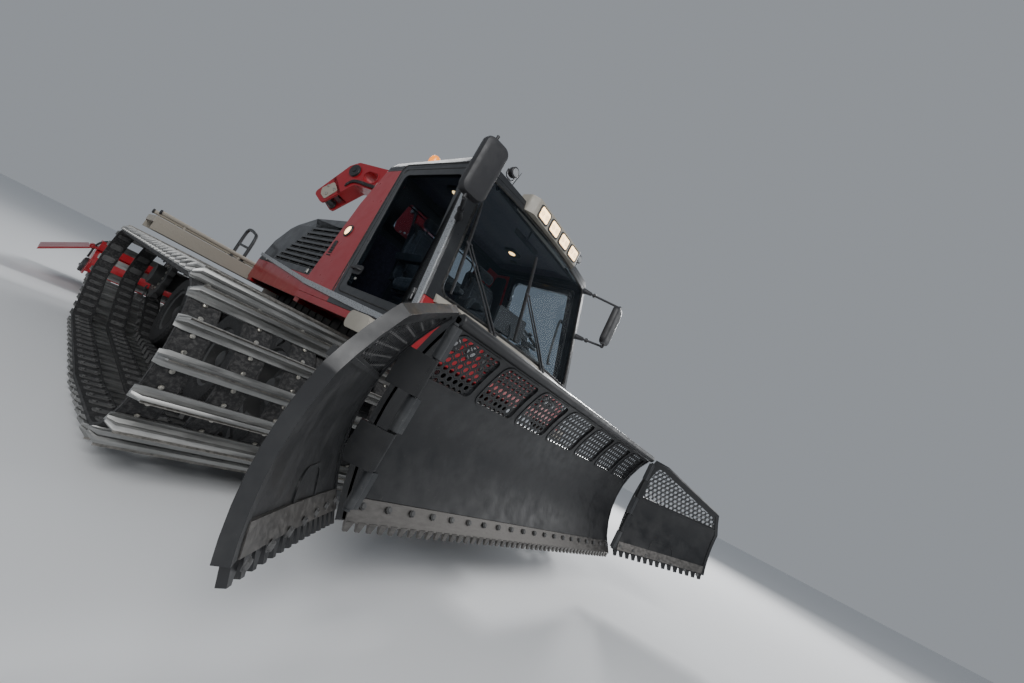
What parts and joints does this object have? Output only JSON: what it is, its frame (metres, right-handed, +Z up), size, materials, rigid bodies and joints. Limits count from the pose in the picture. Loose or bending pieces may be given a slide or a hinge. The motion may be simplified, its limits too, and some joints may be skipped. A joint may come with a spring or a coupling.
{
  "type": "snow groomer",
  "caption": "Tracked snow groomer with a winged front blade, curved glass cab, slewing winch boom, rear tiller and smoothing comb.",
  "frame": {"origin": "on the ground under the middle of the whole machine, blade tips to comb edge", "axes": "front faces -Y, +X is the machine's left, +Z is up"},
  "size_m": [5.04, 8.0364, 3.3],
  "materials": {
    "black_paint": "gloss black body paint",
    "red_paint": "gloss deep red body paint",
    "dark_steel": "satin dark paint on steel",
    "platform_paint": "matt beige grey paint",
    "trim_silver": "satin silver",
    "cylinder_paint": "satin black paint",
    "chrome_rod": "polished",
    "track_rubber": "matt",
    "wheel_tyre": "matt",
    "cast_drive": "matt",
    "tine_steel": "worn",
    "comb_plastic": "matt",
    "tinted_glass": "tinted, clear",
    "lamp_housing": "matt",
    "black_plastic": "matt",
    "seat_fabric": "woven",
    "engine_paint": "matt"
  },
  "bodies": {
    "machine": {"chassis_tub": "dark_steel", "engine_block": "engine_paint", "axle_arms": "dark_steel", "wheels_left": "wheel_tyre", "wheels_right": "wheel_tyre", "sprocket_left": "cast_drive", "sprocket_right": "cast_drive", "track_left": "track_rubber", "track_right": "track_rubber", "cab_floor": "red_paint", "cab_frame": "black_paint", "cab_roof": "black_paint", "red_quarters": "red_paint", "windscreen": "tinted_glass", "rear_glass": "tinted_glass", "side_trims": "trim_silver", "seats": "seat_fabric", "dashboard": "black_plastic", "roof_lamps": "lamp_housing", "mirrors": "black_plastic", "wipers": "black_plastic", "engine_hood": "black_paint", "lower_panels": "red_paint", "rear_platform": "platform_paint", "winch_frame": "dark_steel"},
    "left_door": {"door_left": "black_paint", "door_glass_left": "tinted_glass"},
    "right_door": {"door_right": "black_paint", "door_glass_right": "tinted_glass"},
    "boom": {"winch_boom": "black_paint"},
    "lift": {"lift_frame": "dark_steel"},
    "lift_cylinders": {"lift_barrels": "cylinder_paint"},
    "lift_rams": {"lift_rods": "chrome_rod"},
    "carrier": {"blade_carrier": "dark_steel"},
    "left_angle_cylinder": {"angle_barrel_left": "cylinder_paint"},
    "left_angle_ram": {"angle_rod_left": "chrome_rod"},
    "right_angle_cylinder": {"angle_barrel_right": "cylinder_paint"},
    "right_angle_ram": {"angle_rod_right": "chrome_rod"},
    "mouldboard": {"blade": "black_paint"},
    "left_wing": {"wing_left": "black_paint"},
    "right_wing": {"wing_right": "black_paint"},
    "tiller": {"tiller_frame": "dark_steel", "tiller_housing": "red_paint", "tiller_comb": "comb_plastic"},
    "tiller_cylinders": {"tiller_barrels": "cylinder_paint"},
    "tiller_rams": {"tiller_rods": "chrome_rod"},
    "reel": {"tiller_reel": "tine_steel"},
    "left_finisher": {"side_finisher_left": "red_paint"},
    "right_finisher": {"side_finisher_right": "red_paint"}
  },
  "joints": [
    {"name": "blade_lift", "type": "hinge", "parent": "machine", "child": "lift", "pos_m": [0, -2.2128, 0.4], "axis": [-1, 0, 0], "range_deg": [-16, 12]},
    {"name": "lift_cylinder_swing", "type": "hinge", "parent": "machine", "child": "lift_cylinders", "pos_m": [0, -2.4828, 1.01], "axis": [-1, 0, 0], "range_deg": [-3.45, 2.59]},
    {"name": "lift_cylinder_stroke", "type": "slide", "parent": "lift_cylinders", "child": "lift_rams", "axis": [0, -0.4706, -0.8824], "range_m": [-0.1095, 0.1459]},
    {"name": "blade_angle", "type": "hinge", "parent": "lift", "child": "carrier", "pos_m": [0, -3.0528, 0.495], "axis": [0, 0, 1], "range_deg": [-12, 12]},
    {"name": "left_angle_cylinder_swing", "type": "hinge", "parent": "lift", "child": "left_angle_cylinder", "pos_m": [0.405, -2.5828, 0.59], "axis": [0, 0, 1], "range_deg": [-1.32, 1.32]},
    {"name": "left_angle_cylinder_stroke", "type": "slide", "parent": "left_angle_cylinder", "child": "left_angle_ram", "axis": [-0.2137, -0.9769, 0], "range_m": [-0.061, 0.061]},
    {"name": "right_angle_cylinder_swing", "type": "hinge", "parent": "lift", "child": "right_angle_cylinder", "pos_m": [-0.405, -2.5828, 0.59], "axis": [0, 0, 1], "range_deg": [-1.32, 1.32]},
    {"name": "right_angle_cylinder_stroke", "type": "slide", "parent": "right_angle_cylinder", "child": "right_angle_ram", "axis": [0.2137, -0.9769, 0], "range_m": [-0.061, 0.061]},
    {"name": "blade_tilt", "type": "hinge", "parent": "carrier", "child": "mouldboard", "pos_m": [0, -3.0528, 0.495], "axis": [0, 1, 0], "range_deg": [-6, 6]},
    {"name": "left_wing_fold", "type": "hinge", "parent": "mouldboard", "child": "left_wing", "pos_m": [1.475, -3.34478, 0.37437], "axis": [0, 0.0523, -0.9986], "range_deg": [-50, 22]},
    {"name": "right_wing_fold", "type": "hinge", "parent": "mouldboard", "child": "right_wing", "pos_m": [-1.475, -3.34478, 0.37437], "axis": [0, -0.0523, 0.9986], "range_deg": [-50, 22]},
    {"name": "left_door_swing", "type": "hinge", "parent": "machine", "child": "left_door", "pos_m": [1.06031, -2.34865, 1.485], "axis": [0.0605, -0.2456, -0.9675], "range_deg": [0, 80]},
    {"name": "right_door_swing", "type": "hinge", "parent": "machine", "child": "right_door", "pos_m": [-1.06031, -2.34865, 1.485], "axis": [0.0605, 0.2456, 0.9675], "range_deg": [0, 80]},
    {"name": "boom_slew", "type": "hinge", "parent": "machine", "child": "boom", "pos_m": [0, -0.0528, 2.4], "axis": [0, 0, 1], "range_deg": [-143, 107]},
    {"name": "tiller_lift", "type": "hinge", "parent": "machine", "child": "tiller", "pos_m": [0, 1.9072, 0.52], "axis": [1, 0, 0], "range_deg": [-10, 25]},
    {"name": "tiller_cylinder_swing", "type": "hinge", "parent": "machine", "child": "tiller_cylinders", "pos_m": [0, 1.8472, 0.93], "axis": [1, 0, 0], "range_deg": [-4.82, 12.02]},
    {"name": "tiller_cylinder_stroke", "type": "slide", "parent": "tiller_cylinders", "child": "tiller_rams", "axis": [0, 0.8235, -0.5673], "range_m": [-0.1396, 0.056]},
    {"name": "reel_spin", "type": "hinge", "parent": "tiller", "child": "reel", "pos_m": [0, 2.8272, 0.345], "axis": [1, 0, 0], "continuous": true},
    {"name": "left_finisher_fold", "type": "hinge", "parent": "tiller", "child": "left_finisher", "pos_m": [2.14, 2.8272, 0.6], "axis": [0, -1, 0], "range_deg": [0, 90]},
    {"name": "right_finisher_fold", "type": "hinge", "parent": "tiller", "child": "right_finisher", "pos_m": [-2.14, 2.8272, 0.6], "axis": [0, 1, 0], "range_deg": [0, 90]}
  ],
  "couplings": [
    {"joint": "lift_cylinder_swing", "follows": "blade_lift", "ratio": 0.21489},
    {"joint": "lift_cylinder_stroke", "follows": "blade_lift", "m_per_rad": -0.52202},
    {"joint": "left_angle_cylinder_swing", "follows": "blade_angle", "ratio": -0.10901},
    {"joint": "left_angle_cylinder_stroke", "follows": "blade_angle", "m_per_rad": -0.2904},
    {"joint": "right_angle_cylinder_swing", "follows": "blade_angle", "ratio": -0.10901},
    {"joint": "right_angle_cylinder_stroke", "follows": "blade_angle", "m_per_rad": 0.2904},
    {"joint": "tiller_cylinder_swing", "follows": "tiller_lift", "ratio": 0.48028},
    {"joint": "tiller_cylinder_stroke", "follows": "tiller_lift", "m_per_rad": -0.31954}
  ]
}
